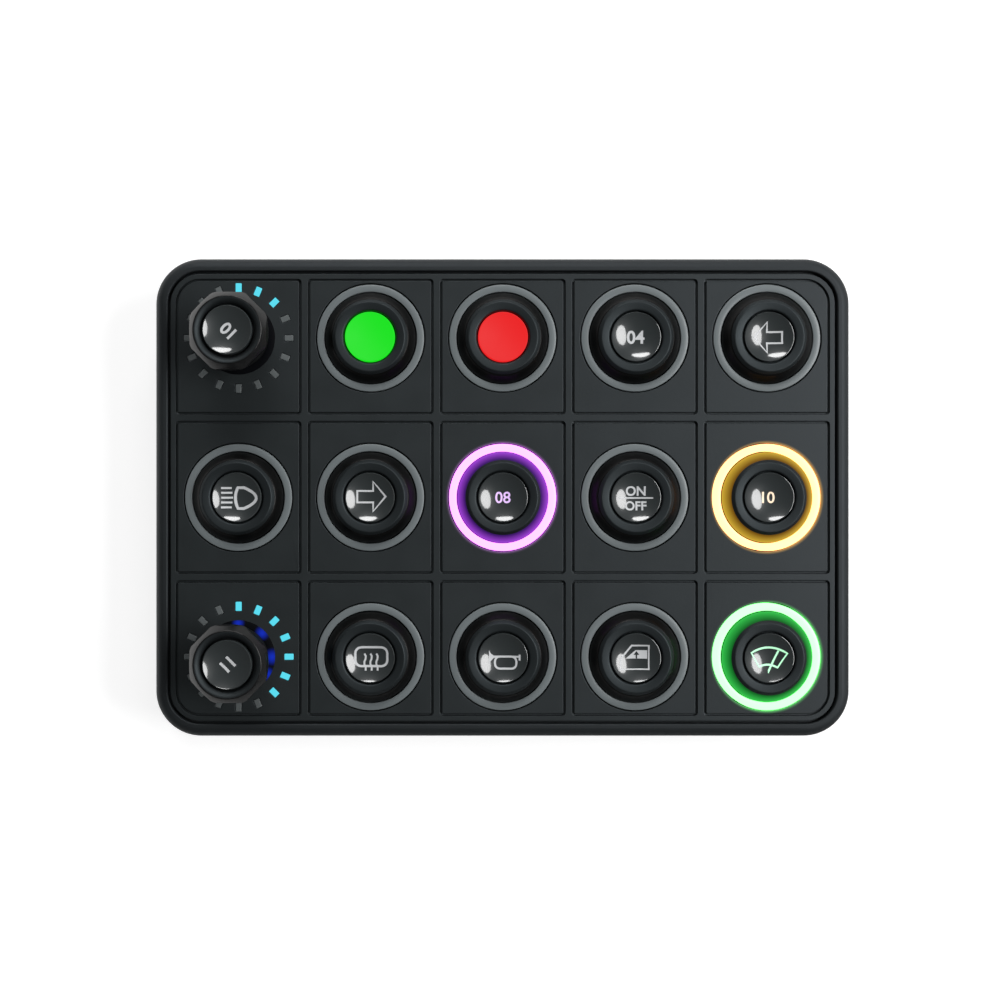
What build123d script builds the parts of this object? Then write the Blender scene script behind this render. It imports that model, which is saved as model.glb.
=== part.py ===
"""Illuminated control keypad: thirteen push keys with halo rings and two pressable rotary knobs.

The keypad lies on its back. Z = 0 is the back face, +Z comes out of the keys, +X runs along
the rows and +Y points to the first row. Everything is in millimetres.
"""

import os

from build123d import *

# ---- Face layout: three rows of five square fields, with a knob at the left end of rows 1 and 3
column_count = 5
row_count = 3
column_pitch = 30.0
row_pitch = 36.2
row_margin = 12.9  # from the outer rows' centres to the edge of their tiles
tile_gap = 2.5  # from tile to tile, with a rib in the middle
tile_groove_width = 0.5
tile_groove_depth = 0.8
tile_corner = 5.0  # the four corner tiles' outer corner
mat_border = 1.65  # mat outside the tiles
rim_groove = 0.65  # dark joint between the mat and the housing's rim
rim_width = 3.05
rim_round = 2.4

# ---- Heights of the stack, from the back face up
cover_thickness = 3.0
cover_lip = 1.4  # raised field of the cover that centres it in the housing
board_standoff = 5.6  # from the cover plate to the circuit board
board_thickness = 1.6
encoder_height = 6.0
encoder_gap = 0.1  # between the encoders and the scale's carrier under the deck
tick_carrier_thickness = 0.7
deck_thickness = 3.0
mat_thickness = 2.0

# ---- Housing, cover and board
wall = 3.0
back_chamfer = 0.8
gasket_width = 1.6
gasket_play = 0.05
board_play = 0.6
post_width = 5.0

# ---- Keys
key_travel = 1.2
travel_reserve = 0.1
ring_outer_radius = 12.15
ring_width = 1.65
ring_slit = 0.28  # joint between the ring and its tile
ring_proud = 0.05
cap_rise = 3.1  # top of the cap above the tiles
well_clearance = 1.5  # dark gap between the ring and the foot of the cap's side
cap_draft = 0.5
cap_shoulder_width = 0.65
cap_shoulder_drop = 0.9
cap_rim_width = 2.0  # rim between the shoulder and the insert's seat
cap_rim_drop = 0.3  # the rim slopes down to the insert
stem_width = 12.0  # square stem that runs in the deck's window
stem_play = 0.15
foot_lip = 1.2  # how far the foot reaches past the stem
foot_thickness = 1.2
foot_gap = 0.1
plunger_width = 3.0
plunger_entry = 0.8  # how deep the plunger sits in the switch at rest
insert_play = 0.1
insert_seat_depth = 2.0
insert_proud = 0.1
insert_dish_depth = 1.3  # the inserts are dished for the fingertip
insert_dish_slope = 3.2  # width of the dish's sloping side

# ---- Switches and lamps on the board
switch_width = 6.4
switch_height = 3.6
switch_well_play = 0.3
lamp_width = 1.6
lamp_height = 0.7
light_window = 1.4

# ---- Knobs
knob_travel = 0.5
knob_gap = 0.9  # under the knob's skirt at rest
knob_base_radius = 7.45
knob_base_height = 3.1
knob_flare_height = 10.8
knob_crown_height = 2.2
knob_across_flats = 16.7
knob_flat_count = 8
knob_corner_radius = 8.92  # reach of the corners between the flats
knob_crest_radius = 7.3
knob_skirt_wall = 1.85
knob_cavity_height = 3.0
knob_rim_width = 1.8  # rim between the crest and the insert's seat
knob_rim_drop = 0.3
knob_insert_seat_depth = 2.0
socket_roof = 2.6  # material between the shaft's socket and the insert's seat
shaft_radius = 3.0
shaft_play = 0.05
shaft_flat_depth = 0.6
shaft_drive_width = 3.2
encoder_width = 12.4
encoder_wall = 0.9
encoder_cavity_height = 3.2
rotor_gap = 0.2
rotor_side_gap = 0.4
deck_hole_play = 0.3

# ---- Scale of light ticks round each knob
tick_count = 16
tick_radius = 11.45
tick_length = 2.0
tick_width = 1.3
tick_play = 0.05
tick_carrier_width = 2.4
collar_reach = 0.45  # how far the light collar shows past the knob's skirt
collar_width = 1.2
collar_height = 0.35

# ---- Back: mounting inserts and the connector socket
insert_across_flats = 6.0
boss_roof = 1.6  # cover material between a mounting insert and the board
thread_bore_radius = 1.65  # M4 tapping size
boss_width = 9.6
connector_length = 26.0
connector_width = 14.0
connector_wall = 1.6
connector_base = 1.4
connector_play = 0.2
connector_recess = 0.3
pin_width = 1.0
pin_play = 0.02
pin_pitch_x = 6.0
pin_pitch_y = 4.6
pin_columns = 3
pin_rows = 2
pin_cover = 4.3  # from the socket's mouth to the tips of the pins

# ---- Levels worked out from the stack
board_bottom = cover_thickness + board_standoff
board_top = board_bottom + board_thickness
deck_bottom = board_top + encoder_height + encoder_gap + tick_carrier_thickness
deck_top = deck_bottom + deck_thickness
face = deck_top + mat_thickness

# ---- Outlines worked out from the layout
field_length = column_count * column_pitch - tile_gap
field_width = (row_count - 1) * row_pitch + 2 * row_margin
rim_inset = mat_border + rim_groove
body_length = field_length + 2 * (rim_inset + rim_width)
body_width = field_width + 2 * (rim_inset + rim_width)
body_corner = tile_corner + rim_inset + rim_width

knob_column = 1
knob_fields = {"1": (1, knob_column), "2": (row_count, knob_column)}  # knob: its row and column


def field_centre(row, column):
    """The centre of a key or knob, counted from the first row and the left column."""
    x = (column - (column_count + 1) / 2) * column_pitch
    y = ((row_count + 1) / 2 - row) * row_pitch
    return (x, y)


knob_places = {name: field_centre(*field) for name, field in knob_fields.items()}
key_places = {
    f"r{row}c{column}": field_centre(row, column)
    for row in range(1, row_count + 1)
    for column in range(1, column_count + 1)
    if (row, column) not in knob_fields.values()
}
# Clamping posts and mounting inserts stand between the fields, one column in from each end.
post_x = (column_count / 2 - 1) * column_pitch
post_places = [(side_x * post_x, side_y * row_pitch / 2) for side_x in (-1, 1) for side_y in (-1, 1)]


def tile_outline(row, column, grow=0.0):
    """Length, width and centre of a tile: it reaches to the ribs, or to the field's edge."""
    x, y = field_centre(row, column)
    half_pitch = (row_pitch - tile_gap) / 2
    top = y + (row_margin if row == 1 else half_pitch) + grow
    bottom = y - (row_margin if row == row_count else half_pitch) - grow
    return column_pitch - tile_gap + 2 * grow, top - bottom, (x, (top + bottom) / 2)


def turned(*section):
    """A solid turned about Z from half of its section, given as radius and height."""
    with BuildPart() as piece:
        with BuildSketch(Plane.XZ):
            with BuildLine():
                Polyline(*section, close=True)
            make_face()
        revolve(axis=Axis.Z)
    return piece.part


def export_piece(piece, name):
    """Names a finished piece and writes it to its own file."""
    piece.label = name
    export_step(piece, f"parts/{name}.step")


os.makedirs("parts", exist_ok=True)

# ---- Front housing: a moulded tray, open at the back, with a rounded rim and a deck inside
recess_length = field_length + 2 * rim_inset
recess_width = field_width + 2 * rim_inset
with BuildPart() as front_housing:
    with BuildSketch(Plane.XY.offset(cover_thickness)):
        RectangleRounded(body_length, body_width, body_corner)
    extrude(amount=face - cover_thickness)
    fillet(front_housing.faces().sort_by(Axis.Z)[-1].edges(), rim_round)
    with BuildSketch(Plane.XY.offset(cover_thickness)):
        RectangleRounded(body_length - 2 * wall, body_width - 2 * wall, body_corner - wall)
    extrude(amount=deck_bottom - cover_thickness, mode=Mode.SUBTRACT)
    with BuildSketch(Plane.XY.offset(deck_top)):
        RectangleRounded(recess_length, recess_width, tile_corner + rim_inset)
    extrude(amount=mat_thickness, mode=Mode.SUBTRACT)
    with BuildSketch(Plane.XY.offset(deck_bottom)):
        with Locations(*key_places.values()):
            Rectangle(stem_width + 2 * stem_play, stem_width + 2 * stem_play)
            with Locations(
                (ring_width / 2 - ring_outer_radius, 0), (ring_outer_radius - ring_width / 2, 0)
            ):
                Rectangle(light_window, light_window)
        with Locations(*knob_places.values()):
            Circle(shaft_radius + deck_hole_play)
            with PolarLocations(tick_radius, tick_count):
                Rectangle(tick_length + 2 * tick_play, tick_width + 2 * tick_play)
    extrude(amount=deck_thickness, mode=Mode.SUBTRACT)
    with BuildSketch(Plane.XY.offset(board_top)):
        with Locations(*post_places):
            Rectangle(post_width, post_width)
    extrude(amount=deck_bottom - board_top)
export_piece(front_housing.part, "front_housing")

# ---- Face mat: one silicone moulding with raised tiles between ribs
with BuildSketch(Plane.XY.offset(face)) as tile_tops:
    for row in range(1, row_count + 1):
        for column in range(1, column_count + 1):
            length, width, centre = tile_outline(row, column)
            with Locations(centre):
                Rectangle(length, width)
    RectangleRounded(field_length, field_width, tile_corner, mode=Mode.INTERSECT)
with BuildPart() as face_mat:
    with BuildSketch(Plane.XY.offset(deck_top)):
        RectangleRounded(
            field_length + 2 * mat_border, field_width + 2 * mat_border, tile_corner + mat_border
        )
    extrude(amount=mat_thickness)
    with BuildSketch(Plane.XY.offset(face)):
        for row in range(1, row_count + 1):
            for column in range(1, column_count + 1):
                length, width, centre = tile_outline(row, column, tile_groove_width)
                with Locations(centre):
                    Rectangle(length, width)
        RectangleRounded(
            field_length + 2 * tile_groove_width,
            field_width + 2 * tile_groove_width,
            tile_corner + tile_groove_width,
            mode=Mode.INTERSECT,
        )
        add(tile_tops.sketch, mode=Mode.SUBTRACT)
    extrude(amount=-tile_groove_depth, mode=Mode.SUBTRACT)
    with BuildSketch(Plane.XY.offset(deck_top)):
        with Locations(*key_places.values()):
            Circle(ring_outer_radius + ring_slit)
        with Locations(*knob_places.values()):
            Circle(shaft_radius + deck_hole_play)
            with PolarLocations(tick_radius, tick_count):
                Rectangle(tick_length + 2 * tick_play, tick_width + 2 * tick_play)
    extrude(amount=mat_thickness, mode=Mode.SUBTRACT)
export_piece(face_mat.part, "face_mat")

# ---- Halo rings: a translucent light guide round each key, standing on the deck
ring_top = face + ring_proud
ring_bore = ring_outer_radius - ring_width
with BuildPart() as halo_rings:
    with BuildSketch(Plane.XY.offset(deck_top)):
        with Locations(*key_places.values()):
            Circle(ring_outer_radius)
            Circle(ring_bore, mode=Mode.SUBTRACT)
    extrude(amount=ring_top - deck_top)
export_piece(halo_rings.part, "halo_rings")

# ---- Key cap: a round head with a sloping side, on a square stem that can't turn or come out
cap_base_radius = ring_bore - well_clearance
cap_shoulder_radius = cap_base_radius - cap_draft
cap_crest_radius = cap_shoulder_radius - cap_shoulder_width
insert_seat_radius = cap_crest_radius - cap_rim_width
cap_top = face + cap_rise
head_bottom = deck_top + key_travel + travel_reserve
foot_top = deck_bottom - foot_gap
foot_bottom = foot_top - foot_thickness
plunger_tip = board_top + switch_height - plunger_entry
insert_seat = cap_top - insert_seat_depth
insert_rim = cap_top - cap_rim_drop + insert_proud
with BuildPart() as key_cap:
    add(
        turned(
            (0, head_bottom),
            (cap_base_radius, head_bottom),
            (cap_shoulder_radius, cap_top - cap_shoulder_drop),
            (cap_crest_radius, cap_top),
            (insert_seat_radius, cap_top - cap_rim_drop),
            (insert_seat_radius, insert_seat),
            (0, insert_seat),
        )
    )
    with BuildSketch(Plane.XY.offset(foot_top)):
        Rectangle(stem_width, stem_width)
    extrude(amount=head_bottom - foot_top)
    with BuildSketch(Plane.XY.offset(foot_bottom)):
        Rectangle(stem_width + 2 * foot_lip, stem_width + 2 * foot_lip)
    extrude(amount=foot_thickness)
    with BuildSketch(Plane.XY.offset(plunger_tip)):
        Rectangle(plunger_width, plunger_width)
    extrude(amount=foot_bottom - plunger_tip)
for name, place in key_places.items():
    export_piece(key_cap.part.moved(Location(place)), f"key_cap_{name}")


def dished_insert(radius, seat, rim):
    """A round legend insert from its seat to its rim, with a dish in its top for the fingertip."""
    floor = rim - insert_dish_depth
    floor_radius = radius - insert_dish_slope
    return turned((0, seat), (radius, seat), (radius, rim), (floor_radius, floor), (0, floor))


# ---- Key insert: the dished legend disc, snapped into the cap
with BuildPart() as key_insert:
    add(dished_insert(insert_seat_radius - insert_play, insert_seat, insert_rim))
for name, place in key_places.items():
    export_piece(key_insert.part.moved(Location(place)), f"key_insert_{name}")

# ---- Light guides of the knobs' scales: sixteen posts on a carrier under the deck
with BuildPart() as tick_guide:
    with BuildSketch(Plane.XY.offset(deck_bottom - tick_carrier_thickness)):
        RegularPolygon(tick_radius + tick_carrier_width / 2, tick_count, major_radius=False)
        RegularPolygon(
            tick_radius - tick_carrier_width / 2,
            tick_count,
            major_radius=False,
            mode=Mode.SUBTRACT,
        )
    extrude(amount=tick_carrier_thickness)
    with BuildSketch(Plane.XY.offset(deck_bottom)):
        with PolarLocations(tick_radius, tick_count):
            Rectangle(tick_length, tick_width)
    extrude(amount=deck_thickness + mat_thickness)
for name, place in knob_places.items():
    export_piece(tick_guide.part.moved(Location(place)), f"tick_guide_{name}")

# ---- Light collars: a thin translucent ring on the mat, round the foot of each knob's skirt
collar_outer = knob_base_radius + collar_reach
with BuildPart() as light_collars:
    with BuildSketch(Plane.XY.offset(face)):
        with Locations(*knob_places.values()):
            Circle(collar_outer)
            Circle(collar_outer - collar_width, mode=Mode.SUBTRACT)
    extrude(amount=collar_height)
export_piece(light_collars.part, "light_collars")

# ---- Encoder bodies: square housings on the board, open towards it, with a bore for the shaft
encoder_cavity = encoder_width - 2 * encoder_wall
with BuildPart() as encoder_bodies:
    with BuildSketch(Plane.XY.offset(board_top)):
        with Locations(*knob_places.values()):
            Rectangle(encoder_width, encoder_width)
    extrude(amount=encoder_height)
    with BuildSketch(Plane.XY.offset(board_top)):
        with Locations(*knob_places.values()):
            Rectangle(encoder_cavity, encoder_cavity)
    extrude(amount=encoder_cavity_height, mode=Mode.SUBTRACT)
    with BuildSketch(Plane.XY.offset(board_top)):
        with Locations(*knob_places.values()):
            Circle(shaft_radius + shaft_play)
    extrude(amount=encoder_height, mode=Mode.SUBTRACT)
export_piece(encoder_bodies.part, "encoder_bodies")

# ---- Encoder rotor: the disc that turns with the shaft and lets it slide down to press
rotor_bottom = board_top + rotor_gap
rotor_top = board_top + encoder_cavity_height - rotor_gap
with BuildPart() as encoder_rotor:
    with BuildSketch(Plane.XY.offset(rotor_bottom)):
        Circle(encoder_cavity / 2 - rotor_side_gap)
        Rectangle(
            shaft_drive_width + 2 * shaft_play, shaft_drive_width + 2 * shaft_play, mode=Mode.SUBTRACT
        )
    extrude(amount=rotor_top - rotor_bottom)

# ---- Encoder shaft: round in the body's bore, square in the rotor, with a flat in the knob
knob_bottom = face + knob_gap
knob_top = knob_bottom + knob_base_height + knob_flare_height + knob_crown_height
knob_insert_seat = knob_top - knob_insert_seat_depth
knob_seat_edge = knob_top - knob_rim_drop
socket_bottom = knob_bottom + knob_cavity_height
shaft_top = knob_insert_seat - socket_roof
shaft_shoulder = rotor_top + knob_travel + travel_reserve
shaft_bottom = board_top + knob_travel + travel_reserve
with BuildPart() as encoder_shaft:
    with BuildSketch(Plane.XY.offset(shaft_shoulder)):
        Circle(shaft_radius)
    extrude(amount=shaft_top - shaft_shoulder)
    with BuildSketch(Plane.XY.offset(socket_bottom)):
        with Locations((shaft_radius - shaft_flat_depth / 2, 0)):
            Rectangle(shaft_flat_depth, 2 * shaft_radius)
    extrude(amount=shaft_top - socket_bottom, mode=Mode.SUBTRACT)
    with BuildSketch(Plane.XY.offset(shaft_bottom)):
        Rectangle(shaft_drive_width, shaft_drive_width)
    extrude(amount=shaft_shoulder - shaft_bottom)

# ---- Knob grip: a round skirt that flares upwards, with eight flats cut into its widest part
flare_bottom = knob_bottom + knob_base_height
crown_bottom = flare_bottom + knob_flare_height
knob_seat_radius = knob_crest_radius - knob_rim_width
with BuildPart() as knob_grip:
    add(
        turned(
            (0, knob_bottom),
            (knob_base_radius, knob_bottom),
            (knob_base_radius, flare_bottom),
            (knob_corner_radius, crown_bottom),
            (knob_crest_radius, knob_top),
            (knob_seat_radius, knob_seat_edge),
            (0, knob_seat_edge),
        )
    )
    with BuildSketch(Plane.XY.offset(knob_bottom)):
        RegularPolygon(
            knob_across_flats / 2,
            knob_flat_count,
            major_radius=False,
            rotation=180 / knob_flat_count,
        )
    extrude(amount=knob_top - knob_bottom, mode=Mode.INTERSECT)
    with BuildSketch(Plane.XY.offset(knob_bottom)):
        Circle(knob_base_radius - knob_skirt_wall)
    extrude(amount=knob_cavity_height, mode=Mode.SUBTRACT)
    with BuildSketch(Plane.XY.offset(socket_bottom)):
        Circle(shaft_radius + shaft_play)
        with Locations((shaft_radius + shaft_play - shaft_flat_depth / 2, 0)):
            Rectangle(shaft_flat_depth, 2 * (shaft_radius + shaft_play), mode=Mode.SUBTRACT)
    extrude(amount=shaft_top - socket_bottom, mode=Mode.SUBTRACT)
    with BuildSketch(Plane.XY.offset(knob_insert_seat)):
        Circle(knob_seat_radius)
    extrude(amount=knob_insert_seat_depth, mode=Mode.SUBTRACT)

# ---- Knob insert: the same kind of dished disc, in the top of the grip
with BuildPart() as knob_insert:
    add(dished_insert(knob_seat_radius - insert_play, knob_insert_seat, knob_seat_edge + insert_proud))
for name, place in knob_places.items():
    export_piece(encoder_rotor.part.moved(Location(place)), f"encoder_rotor_{name}")
    export_piece(encoder_shaft.part.moved(Location(place)), f"encoder_shaft_{name}")
    export_piece(knob_grip.part.moved(Location(place)), f"knob_grip_{name}")
    export_piece(knob_insert.part.moved(Location(place)), f"knob_insert_{name}")

# ---- Circuit board, clamped between the deck's posts and the cover's bosses
with BuildPart() as circuit_board:
    with BuildSketch(Plane.XY.offset(board_bottom)):
        RectangleRounded(
            body_length - 2 * (wall + board_play),
            body_width - 2 * (wall + board_play),
            body_corner - wall - board_play,
        )
    extrude(amount=board_thickness)
export_piece(circuit_board.part, "circuit_board")

# ---- Key switches: one under each key, with a well that the plunger enters
switch_well = plunger_entry + key_travel + travel_reserve
with BuildPart() as key_switches:
    with BuildSketch(Plane.XY.offset(board_top)):
        with Locations(*key_places.values()):
            Rectangle(switch_width, switch_width)
    extrude(amount=switch_height)
    with BuildSketch(Plane.XY.offset(board_top + switch_height - switch_well)):
        with Locations(*key_places.values()):
            Rectangle(plunger_width + 2 * switch_well_play, plunger_width + 2 * switch_well_play)
    extrude(amount=switch_well, mode=Mode.SUBTRACT)
export_piece(key_switches.part, "key_switches")

# ---- Board lamps: two under each halo ring and one under each tick
with BuildPart() as board_lamps:
    with BuildSketch(Plane.XY.offset(board_top)):
        with Locations(*key_places.values()):
            with Locations(
                (ring_width / 2 - ring_outer_radius, 0), (ring_outer_radius - ring_width / 2, 0)
            ):
                Rectangle(lamp_width, lamp_width)
        with Locations(*knob_places.values()):
            with PolarLocations(tick_radius, tick_count):
                Rectangle(lamp_width, lamp_width)
    extrude(amount=lamp_height)
export_piece(board_lamps.part, "board_lamps")

# ---- Rear cover: a flat plate with a raised field, bosses for the inserts and a connector opening
lip_inset = wall + gasket_width
insert_length = board_bottom - boss_roof
with BuildPart() as rear_cover:
    with BuildSketch():
        RectangleRounded(body_length, body_width, body_corner)
    extrude(amount=cover_thickness)
    chamfer(rear_cover.faces().sort_by(Axis.Z)[0].edges(), back_chamfer)
    with BuildSketch(Plane.XY.offset(cover_thickness)):
        RectangleRounded(
            body_length - 2 * lip_inset, body_width - 2 * lip_inset, body_corner - lip_inset
        )
    extrude(amount=cover_lip)
    with BuildSketch(Plane.XY.offset(cover_thickness)):
        with Locations(*post_places):
            Rectangle(boss_width, boss_width)
    extrude(amount=board_standoff)
    with BuildSketch():
        with Locations(*post_places):
            RegularPolygon(insert_across_flats / 2, 6, major_radius=False)
    extrude(amount=insert_length, mode=Mode.SUBTRACT)
    with BuildSketch():
        Rectangle(connector_length + 2 * connector_play, connector_width + 2 * connector_play)
    extrude(amount=cover_thickness + cover_lip, mode=Mode.SUBTRACT)
export_piece(rear_cover.part, "rear_cover")

# ---- Cover gasket: a flat ring in the step between the cover's raised field and the wall
with BuildPart() as cover_gasket:
    with BuildSketch(Plane.XY.offset(cover_thickness)):
        RectangleRounded(
            body_length - 2 * (wall + gasket_play),
            body_width - 2 * (wall + gasket_play),
            body_corner - wall - gasket_play,
        )
        RectangleRounded(
            body_length - 2 * (lip_inset - gasket_play),
            body_width - 2 * (lip_inset - gasket_play),
            body_corner - lip_inset + gasket_play,
            mode=Mode.SUBTRACT,
        )
    extrude(amount=cover_lip)
export_piece(cover_gasket.part, "cover_gasket")

# ---- Mounting inserts: hexagonal brass nuts moulded into the cover, open to the back
with BuildPart() as mounting_inserts:
    with BuildSketch():
        with Locations(*post_places):
            RegularPolygon(insert_across_flats / 2, 6, major_radius=False)
            Circle(thread_bore_radius, mode=Mode.SUBTRACT)
    extrude(amount=insert_length)
export_piece(mounting_inserts.part, "mounting_inserts")

# ---- Connector socket: a shroud on the board's back that ends just inside the cover's face
pin_locations = GridLocations(pin_pitch_x, pin_pitch_y, pin_columns, pin_rows)
with BuildPart() as connector_socket:
    with BuildSketch(Plane.XY.offset(connector_recess)):
        Rectangle(connector_length, connector_width)
        Rectangle(
            connector_length - 2 * connector_wall,
            connector_width - 2 * connector_wall,
            mode=Mode.SUBTRACT,
        )
    extrude(amount=board_bottom - connector_recess)
    with BuildSketch(Plane.XY.offset(board_bottom - connector_base)):
        Rectangle(connector_length, connector_width)
        with pin_locations:
            Rectangle(pin_width + 2 * pin_play, pin_width + 2 * pin_play, mode=Mode.SUBTRACT)
    extrude(amount=connector_base)
export_piece(connector_socket.part, "connector_socket")

# ---- Connector pins: square pins through the shroud's base, on the board's pads
with BuildPart() as connector_pins:
    with BuildSketch(Plane.XY.offset(connector_recess + pin_cover)):
        with pin_locations:
            Rectangle(pin_width, pin_width)
    extrude(amount=board_bottom - connector_recess - pin_cover)
export_piece(connector_pins.part, "connector_pins")
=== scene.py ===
"""Looks of an illuminated control keypad: thirteen push keys with halo rings and two rotary knobs."""

import math

import bmesh
import bpy
from mathutils import Matrix, Vector


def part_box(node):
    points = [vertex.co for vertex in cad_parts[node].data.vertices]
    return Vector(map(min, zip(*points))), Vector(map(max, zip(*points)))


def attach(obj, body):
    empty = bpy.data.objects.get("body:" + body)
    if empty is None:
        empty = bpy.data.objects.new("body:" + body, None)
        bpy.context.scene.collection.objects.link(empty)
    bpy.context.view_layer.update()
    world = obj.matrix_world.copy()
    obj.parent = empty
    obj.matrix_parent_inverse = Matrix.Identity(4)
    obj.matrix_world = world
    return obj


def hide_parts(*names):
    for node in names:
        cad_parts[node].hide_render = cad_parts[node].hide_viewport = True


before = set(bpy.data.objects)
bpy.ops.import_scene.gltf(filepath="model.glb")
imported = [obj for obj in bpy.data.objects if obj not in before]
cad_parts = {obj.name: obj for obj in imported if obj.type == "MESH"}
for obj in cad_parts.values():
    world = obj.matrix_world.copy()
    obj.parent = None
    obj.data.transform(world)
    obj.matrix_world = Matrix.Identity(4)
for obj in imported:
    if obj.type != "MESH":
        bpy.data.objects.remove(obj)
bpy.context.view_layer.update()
mm = 0.001

# ---- Studio
# The keypad lies on white paper and is seen from straight above. A wide softbox stands to its right
# and a long strip light behind it, both far enough over the keypad to leave its middle dark.
camera_place = (-9.24 * mm, -0.58 * mm, 362 * mm)
bpy.ops.object.camera_add(location=camera_place, rotation=(0, 0, 0))
camera = bpy.context.object
camera.data.sensor_width = 36
camera.data.lens = 53.9
camera.data.shift_x = 0.038
bpy.context.scene.camera = camera
bpy.context.scene.view_settings.view_transform = "Standard"


def softbox(name, tilt, heading, across, along, radiance):
    """An area light that faces the keypad, tilted from the vertical towards a heading from +X."""
    distance = 0.9
    tilt, heading = math.radians(tilt), math.radians(heading)
    flat = math.sin(tilt)
    towards = Vector((flat * math.cos(heading), flat * math.sin(heading), math.cos(tilt)))
    turn = towards.to_track_quat("Z", "Y").to_euler()
    bpy.ops.object.light_add(type="AREA", location=towards * distance, rotation=turn)
    light = bpy.context.object
    light.name = name
    light.visible_camera = False
    light.data.shape = "ELLIPSE"
    light.data.size = across
    light.data.size_y = along
    light.data.energy = radiance * math.pi * across * along * math.pi / 4


softbox("right_softbox", tilt=42, heading=6, across=0.66, along=0.38, radiance=11)
softbox("back_strip", tilt=50, heading=92, across=0.58, along=0.16, radiance=15)


def linear(colour):
    """An sRGB hex colour as linear red, green and blue with full alpha."""
    channels = [int(colour[start : start + 2], 16) / 255 for start in (1, 3, 5)]
    return (*[c / 12.92 if c <= 0.04045 else ((c + 0.055) / 1.055) ** 2.4 for c in channels], 1)


def add_node(tree, kind, inputs=(), **settings):
    """Adds a shader node with its settings, and values or links for its inputs."""
    node = tree.nodes.new("ShaderNode" + kind)
    for setting, value in settings.items():
        setattr(node, setting, value)
    for socket, value in dict(inputs).items():
        if isinstance(value, bpy.types.NodeSocket):
            tree.links.new(value, node.inputs[socket])
        else:
            node.inputs[socket].default_value = value
    return node


# The walls are white to the eye. Their light comes low from the back left, and the ceiling is dark.
world = bpy.data.worlds.new("studio")
bpy.context.scene.world = world
world.use_nodes = True
tree = world.node_tree
tree.nodes.clear()
seen = add_node(tree, "LightPath").outputs["Is Camera Ray"]
direction = add_node(tree, "TexCoord").outputs["Generated"]
height = add_node(tree, "SeparateXYZ", {"Vector": direction}).outputs["Z"]
behind_left = add_node(
    tree, "VectorMath", {0: direction, 1: (-0.7, 0.7, 0.0)}, operation="DOT_PRODUCT"
)
horizon = add_node(
    tree,
    "MapRange",
    {"Value": behind_left.outputs["Value"], "From Min": -1.0, "To Min": 0.2, "To Max": 1.1},
)
dimming = add_node(
    tree,
    "MapRange",
    {"Value": height, "From Max": 0.35, "To Min": horizon.outputs["Result"], "To Max": 0.12},
    interpolation_type="SMOOTHSTEP",
)
fill = add_node(
    tree, "MapRange", {"Value": seen, "To Min": dimming.outputs["Result"], "To Max": 1.0}
)
sky = add_node(tree, "Background", {"Strength": fill.outputs["Result"]})
add_node(tree, "OutputWorld", {"Surface": sky.outputs["Background"]})

bpy.ops.object.select_all(action="DESELECT")
bpy.ops.mesh.primitive_plane_add(size=6, location=(0, 0, -0.2 * mm))
bpy.ops.object.transform_apply()
paper = bpy.context.object
paper.name = "paper_sweep"


def new_material(name):
    """A material without a shader yet, its node tree, and the Object coordinates in it."""
    material = bpy.data.materials.new(name)
    material.use_nodes = True
    tree = material.node_tree
    tree.nodes.clear()
    return material, tree, add_node(tree, "TexCoord").outputs["Object"]


# Matt white paper: the diffuse base takes the keypad's shadow, one glow keeps it white to the eye,
# and another lets glossy pieces mirror the paper behind the keypad.
seen_glow, mirrored_glow = 0.74, 0.9
paper_white, tree, place = new_material("matt_white_paper")
rays = add_node(tree, "LightPath").outputs
behind = add_node(tree, "VectorMath", {0: place, 1: (-0.5, 1.0, 0.0)}, operation="DOT_PRODUCT")
mirrored = add_node(
    tree,
    "MapRange",
    {"Value": behind.outputs["Value"], "From Min": -0.12, "From Max": 0.07, "To Max": mirrored_glow},
    interpolation_type="SMOOTHSTEP",
)
mirrored = add_node(
    tree, "Math", {0: rays["Is Glossy Ray"], 1: mirrored.outputs["Result"]}, operation="MULTIPLY"
)
shown = add_node(tree, "Math", {0: rays["Is Camera Ray"], 1: seen_glow}, operation="MULTIPLY")
lift = add_node(
    tree, "Math", {0: shown.outputs["Value"], 1: mirrored.outputs["Value"]}, operation="MAXIMUM"
)
glow = add_node(tree, "Emission", {"Strength": lift.outputs["Value"]})
matt = add_node(tree, "BsdfDiffuse", {"Color": linear("#cfcfcf"), "Roughness": 0.5})
both = add_node(tree, "AddShader", {0: glow.outputs["Emission"], 1: matt.outputs["BSDF"]})
add_node(tree, "OutputMaterial", {"Surface": both.outputs["Shader"]})
paper.data.materials.append(paper_white)

# ---- Rear cover
# A flat plate with a chamfered edge that closes the back, moulded in black glass-filled nylon and
# bonded to the housing over a gasket. Its bosses hold the mounting inserts.
cover_edge = 0.2
bevel_segments = 3
smooth_angle = math.radians(35)


def add_object(name, data):
    """A new object that shows this mesh or curve."""
    piece = bpy.data.objects.new(name, data)
    bpy.context.collection.objects.link(piece)
    return piece


def pick(piece):
    """Makes a piece the active one and the only one selected."""
    bpy.ops.object.select_all(action="DESELECT")
    bpy.context.view_layer.objects.active = piece
    piece.select_set(True)


def merged_copy(node, name):
    """A copy of a CAD node's mesh, with its triangles joined up and its flat faces made whole."""
    copy = add_object(name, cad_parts[node].data.copy())
    pick(copy)
    bpy.ops.object.mode_set(mode="EDIT")
    bpy.ops.mesh.select_all(action="SELECT")
    bpy.ops.mesh.remove_doubles(threshold=0.002 * mm)
    bpy.ops.mesh.dissolve_limited(angle_limit=math.radians(1))
    bpy.ops.object.mode_set(mode="OBJECT")
    return copy


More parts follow.
